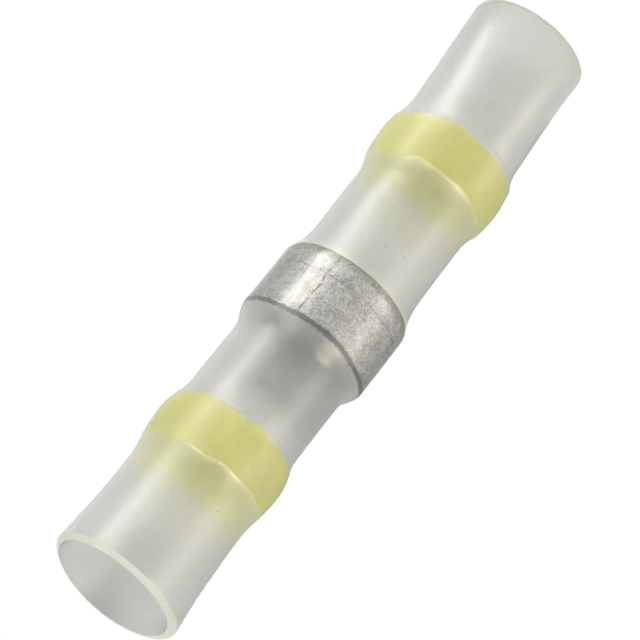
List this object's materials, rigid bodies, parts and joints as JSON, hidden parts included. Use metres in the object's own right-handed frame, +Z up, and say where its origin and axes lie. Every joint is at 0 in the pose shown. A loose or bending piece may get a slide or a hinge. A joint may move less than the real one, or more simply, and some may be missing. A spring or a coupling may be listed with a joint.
{
  "type": "heat shrink butt connector",
  "caption": "Translucent heat-shrink sleeve, open at both ends, that holds a solder ring near its middle and yellow hot-melt sealing rings towards its ends, for joining two wires.",
  "frame": {"origin": "on the axis, at the plane of the square-cut lower rim that the connector stands on", "axes": "+Z up the axis towards the wide mouth; the mouth is cut askew, lowest on its -Y side and highest on its +Y side"},
  "size_m": [0.0086, 0.0086, 0.0427],
  "materials": {
    "sleeve": "frosted translucent heat-shrink tube, whitish grey with a faint yellow-green edge",
    "hot_melt": "satin translucent yellow hot-melt adhesive",
    "solder": "dull silver-grey solder, granular with fine scratches"
  },
  "bodies": {
    "root": {"heat_shrink_sleeve": "sleeve", "solder_ring": "solder", "upper_sealing_ring": "hot_melt", "lower_sealing_ring": "hot_melt"}
  },
  "joints": []
}
